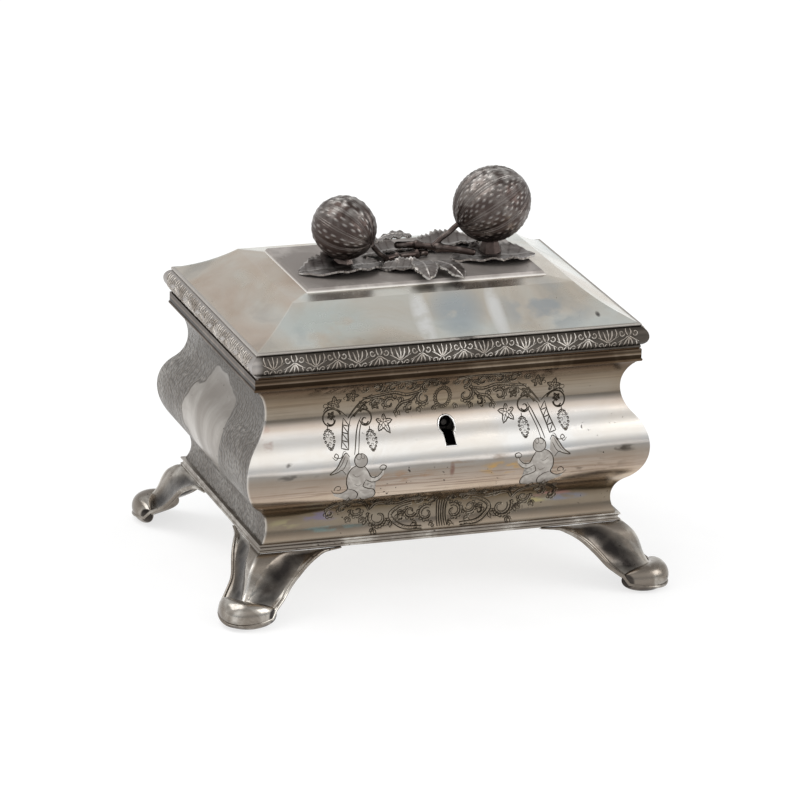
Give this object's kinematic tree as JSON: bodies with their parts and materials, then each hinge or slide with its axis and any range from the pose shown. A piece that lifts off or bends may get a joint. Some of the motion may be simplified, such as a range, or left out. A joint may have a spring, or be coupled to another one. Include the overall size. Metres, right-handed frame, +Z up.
{
  "type": "sugar box",
  "caption": "Footed silver sugar box with bowed mitred walls, hinged hipped lid, inner sliding lock and a finial of melons on leaves.",
  "frame": {"origin": "middle of the footprint, on the plane that the four toes stand on", "axes": "+X to the right as seen from the front, +Y to the back where the hinge is, +Z up"},
  "size_m": [0.1674, 0.1294, 0.1409],
  "materials": {
    "chased_front": "polished silver with worn engraving and brown tarnish",
    "chased_side": "chased and dulled silver",
    "inner_silver": "soft scratched silver",
    "moulding_silver": "silver moulding, dark in its hollow",
    "cast_feet": "cast silver with dark flutes",
    "hinge_silver": "filed silver",
    "lock_iron": "filed iron, dull with age",
    "spring_steel": "blued spring steel",
    "stamped_border": "stamped silver with dark hollows",
    "lid_silver": "polished silver, softly dented",
    "table_silver": "polished silver with a bevelled edge",
    "cast_finial": "cast and chased silver, oxidised dark",
    "fastener_silver": "turned silver, dull"
  },
  "bodies": {
    "box": {"front_panel": "chased_front", "back_panel": "chased_side", "left_panel": "chased_side", "right_panel": "chased_side", "bottom_plate": "inner_silver", "base_moulding": "moulding_silver", "rim_moulding": "moulding_silver", "front_right_foot": "cast_feet", "front_left_foot": "cast_feet", "rear_right_foot": "cast_feet", "rear_left_foot": "cast_feet", "hinge_body_leaf": "hinge_silver", "hinge_pin": "hinge_silver", "lock_plate": "lock_iron", "lock_case": "lock_iron", "lock_rivets": "lock_iron", "lock_spring": "spring_steel", "key_post": "lock_iron"},
    "lid": {"lid_border": "stamped_border", "lid_bezel": "inner_silver", "lid_shell": "lid_silver", "lid_table": "table_silver", "hinge_lid_leaf": "hinge_silver", "lock_staple": "lock_iron", "large_melon": "cast_finial", "large_melon_collar": "cast_finial", "large_melon_screw": "fastener_silver", "large_melon_stem": "cast_finial", "small_melon": "cast_finial", "small_melon_collar": "cast_finial", "small_melon_screw": "fastener_silver", "small_melon_stem": "cast_finial", "finial_nuts": "fastener_silver", "small_twig": "cast_finial", "main_twig": "cast_finial", "left_leaf": "cast_finial", "right_leaf": "cast_finial", "centre_leaf": "cast_finial", "front_left_leaf": "cast_finial", "front_right_leaf": "cast_finial", "back_right_leaf": "cast_finial", "back_left_leaf": "cast_finial", "curled_leaf": "cast_finial"},
    "bolt": {"lock_bolt": "lock_iron"}
  },
  "joints": [
    {"name": "lid_hinge", "type": "hinge", "parent": "box", "child": "lid", "pos_m": [0, 0.053, 0.0874], "axis": [-1, 0, 0], "range_deg": [0, 100]},
    {"name": "bolt_slide", "type": "slide", "parent": "box", "child": "bolt", "axis": [1, 0, 0], "range_m": [0, 0.004]}
  ]
}
